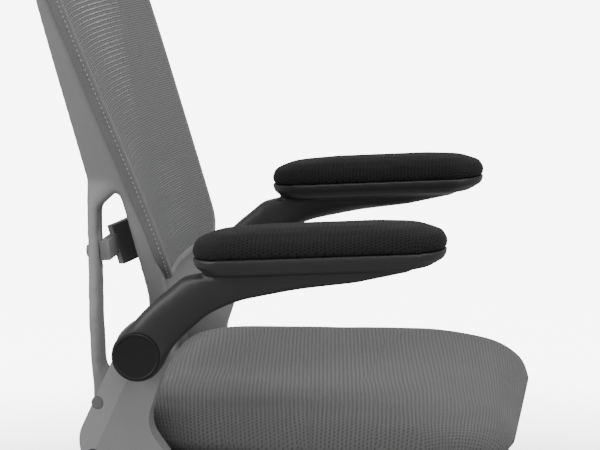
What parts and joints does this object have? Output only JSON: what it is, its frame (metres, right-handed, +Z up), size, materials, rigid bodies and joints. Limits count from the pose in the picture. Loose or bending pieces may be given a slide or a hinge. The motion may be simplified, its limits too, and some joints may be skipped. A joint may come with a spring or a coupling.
{
  "type": "office chair",
  "caption": "Ergonomic office chair with a mesh back, padded seat, flip-up armrests, tilt mechanism, gas column and a star base on casters.",
  "frame": {"origin": "on the floor under the gas column's axis", "axes": "+Z up, -Y the way the sitter faces, -X the sitter's right"},
  "size_m": [0.655, 0.6861, 1.012],
  "materials": {
    "grey_moulding": "fine moulded grain, satin",
    "back_net": "stretched ribbed net",
    "seat_fabric": "perforated mesh cover",
    "arm_pad_knit": "knitted spacer mesh",
    "arm_moulding": "fine grain, satin",
    "black_nylon": "moulded grain",
    "wheel_tread": "smooth moulded",
    "black_steel": "powder coat",
    "bright_steel": "turned steel",
    "black_fastener": "black oxide",
    "grey_fastener": "painted to match the moulding",
    "pale_nylon": "plain"
  },
  "bodies": {
    "base": {"star_base": "black_nylon", "column_tube": "black_steel", "column_bush": "pale_nylon", "thrust_bearing": "bright_steel", "caster_stems": "bright_steel", "cover_lower": "black_nylon"},
    "gas_rod": {"gas_rod": "bright_steel", "column_clip": "bright_steel"},
    "cover_middle": {"cover_middle": "black_nylon"},
    "mechanism": {"pressure_tube": "bright_steel", "cover_upper": "black_nylon", "tilt_chassis": "black_steel", "tilt_pin": "bright_steel", "tension_spring": "black_steel"},
    "knob": {"tension_knob": "black_nylon", "tension_bolt": "bright_steel"},
    "spring_cup": {"spring_cup": "black_steel"},
    "lock_collar": {"lock_collar": "black_nylon"},
    "lever": {"lever_rod": "bright_steel", "lever_paddle": "black_nylon"},
    "release_pin": {"release_pin": "bright_steel"},
    "seat": {"seat_plate": "black_steel", "seat_plate_bolts": "black_fastener", "bracket_bolts": "black_fastener", "seat_pan": "black_nylon", "seat_cushion": "seat_fabric", "bracket_right": "grey_moulding", "bracket_left": "grey_moulding", "back_frame": "grey_moulding", "back_mesh": "back_net", "back_bolts": "grey_fastener", "arm_pivots": "bright_steel"},
    "lumbar": {"lumbar_support": "grey_moulding"},
    "armrest_right": {"arm_shell_right": "arm_moulding", "arm_pad_right": "arm_pad_knit", "hub_cap_right": "arm_moulding"},
    "armrest_left": {"arm_shell_left": "arm_moulding", "arm_pad_left": "arm_pad_knit", "hub_cap_left": "arm_moulding"},
    "caster_1": {"caster_hood_1": "black_nylon"},
    "wheel_1_left": {"caster_wheel_1_left": "wheel_tread"},
    "wheel_1_right": {"caster_wheel_1_right": "wheel_tread"},
    "caster_2": {"caster_hood_2": "black_nylon"},
    "wheel_2_left": {"caster_wheel_2_left": "wheel_tread"},
    "wheel_2_right": {"caster_wheel_2_right": "wheel_tread"},
    "caster_3": {"caster_hood_3": "black_nylon"},
    "wheel_3_left": {"caster_wheel_3_left": "wheel_tread"},
    "wheel_3_right": {"caster_wheel_3_right": "wheel_tread"},
    "caster_4": {"caster_hood_4": "black_nylon"},
    "wheel_4_left": {"caster_wheel_4_left": "wheel_tread"},
    "wheel_4_right": {"caster_wheel_4_right": "wheel_tread"},
    "caster_5": {"caster_hood_5": "black_nylon"},
    "wheel_5_left": {"caster_wheel_5_left": "wheel_tread"},
    "wheel_5_right": {"caster_wheel_5_right": "wheel_tread"}
  },
  "joints": [
    {"name": "seat_swivel", "type": "hinge", "parent": "base", "child": "gas_rod", "pos_m": [0, 0, 0], "axis": [0, 0, 1], "continuous": true},
    {"name": "height_lift", "type": "slide", "parent": "gas_rod", "child": "mechanism", "axis": [0, 0, 1], "range_m": [0, 0.1]},
    {"name": "cover_slide", "type": "slide", "parent": "base", "child": "cover_middle", "axis": [0, 0, 1], "range_m": [0, 0.05]},
    {"name": "tilt", "type": "hinge", "parent": "mechanism", "child": "seat", "pos_m": [0, -0.115, 0.306], "axis": [-1, 0, 0], "range_deg": [0, 12], "stiffness_Nm_per_rad": 90, "springref_deg": -28.65, "deforming": ["tension_spring"]},
    {"name": "knob_turn", "type": "hinge", "parent": "mechanism", "child": "knob", "pos_m": [0, -0.07, 0.276], "axis": [0, 0, 1], "range_deg": [0, 1440]},
    {"name": "cup_rise", "type": "slide", "parent": "mechanism", "child": "spring_cup", "axis": [0, 0, 1], "range_m": [0, 0.006], "deforming": ["tension_spring"]},
    {"name": "lock_slide", "type": "slide", "parent": "mechanism", "child": "lock_collar", "axis": [-1, 0, 0], "range_m": [0, 0.012]},
    {"name": "lever_rock", "type": "hinge", "parent": "lock_collar", "child": "lever", "pos_m": [-0.045, 0, 0.3273], "axis": [0, 1, 0], "range_deg": [0, 5]},
    {"name": "pin_press", "type": "slide", "parent": "mechanism", "child": "release_pin", "axis": [0, 0, -1], "range_m": [0, 0.0055]},
    {"name": "lumbar_slide", "type": "slide", "parent": "seat", "child": "lumbar", "axis": [0, 0.0896, 0.996], "range_m": [-0.02, 0.02]},
    {"name": "arm_flip_right", "type": "hinge", "parent": "seat", "child": "armrest_right", "pos_m": [-0.2775, 0.18, 0.505], "axis": [-1, 0, 0], "range_deg": [0, 90]},
    {"name": "arm_flip_left", "type": "hinge", "parent": "seat", "child": "armrest_left", "pos_m": [0.2775, 0.18, 0.505], "axis": [-1, 0, 0], "range_deg": [0, 90]},
    {"name": "caster_swivel_1", "type": "hinge", "parent": "base", "child": "caster_1", "pos_m": [0, -0.295, 0.068], "axis": [0, 0, 1], "continuous": true},
    {"name": "wheel_1_left_roll", "type": "hinge", "parent": "caster_1", "child": "wheel_1_left", "pos_m": [0, -0.273, 0.0275], "axis": [1, 0, 0], "continuous": true},
    {"name": "wheel_1_right_roll", "type": "hinge", "parent": "caster_1", "child": "wheel_1_right", "pos_m": [0, -0.273, 0.0275], "axis": [1, 0, 0], "continuous": true},
    {"name": "caster_swivel_2", "type": "hinge", "parent": "base", "child": "caster_2", "pos_m": [0.28056, -0.09116, 0.068], "axis": [0, 0, 1], "continuous": true},
    {"name": "wheel_2_left_roll", "type": "hinge", "parent": "caster_2", "child": "wheel_2_left", "pos_m": [0.25964, -0.08436, 0.0275], "axis": [0.309, 0.9511, 0], "continuous": true},
    {"name": "wheel_2_right_roll", "type": "hinge", "parent": "caster_2", "child": "wheel_2_right", "pos_m": [0.25964, -0.08436, 0.0275], "axis": [0.309, 0.9511, 0], "continuous": true},
    {"name": "caster_swivel_3", "type": "hinge", "parent": "base", "child": "caster_3", "pos_m": [0.1734, 0.23866, 0.068], "axis": [0, 0, 1], "continuous": true},
    {"name": "wheel_3_left_roll", "type": "hinge", "parent": "caster_3", "child": "wheel_3_left", "pos_m": [0.16046, 0.22086, 0.0275], "axis": [-0.809, 0.5878, 0], "continuous": true},
    {"name": "wheel_3_right_roll", "type": "hinge", "parent": "caster_3", "child": "wheel_3_right", "pos_m": [0.16046, 0.22086, 0.0275], "axis": [-0.809, 0.5878, 0], "continuous": true},
    {"name": "caster_swivel_4", "type": "hinge", "parent": "base", "child": "caster_4", "pos_m": [-0.1734, 0.23866, 0.068], "axis": [0, 0, 1], "continuous": true},
    {"name": "wheel_4_left_roll", "type": "hinge", "parent": "caster_4", "child": "wheel_4_left", "pos_m": [-0.16046, 0.22086, 0.0275], "axis": [-0.809, -0.5878, 0], "continuous": true},
    {"name": "wheel_4_right_roll", "type": "hinge", "parent": "caster_4", "child": "wheel_4_right", "pos_m": [-0.16046, 0.22086, 0.0275], "axis": [-0.809, -0.5878, 0], "continuous": true},
    {"name": "caster_swivel_5", "type": "hinge", "parent": "base", "child": "caster_5", "pos_m": [-0.28056, -0.09116, 0.068], "axis": [0, 0, 1], "continuous": true},
    {"name": "wheel_5_left_roll", "type": "hinge", "parent": "caster_5", "child": "wheel_5_left", "pos_m": [-0.25964, -0.08436, 0.0275], "axis": [0.309, -0.9511, 0], "continuous": true},
    {"name": "wheel_5_right_roll", "type": "hinge", "parent": "caster_5", "child": "wheel_5_right", "pos_m": [-0.25964, -0.08436, 0.0275], "axis": [0.309, -0.9511, 0], "continuous": true}
  ],
  "couplings": [
    {"joint": "cover_slide", "follows": "height_lift", "ratio": 0.5},
    {"joint": "cup_rise", "follows": "knob_turn", "m_per_rad": 0.00023849},
    {"joint": "pin_press", "follows": "lever_rock", "m_per_rad": 0.061}
  ]
}
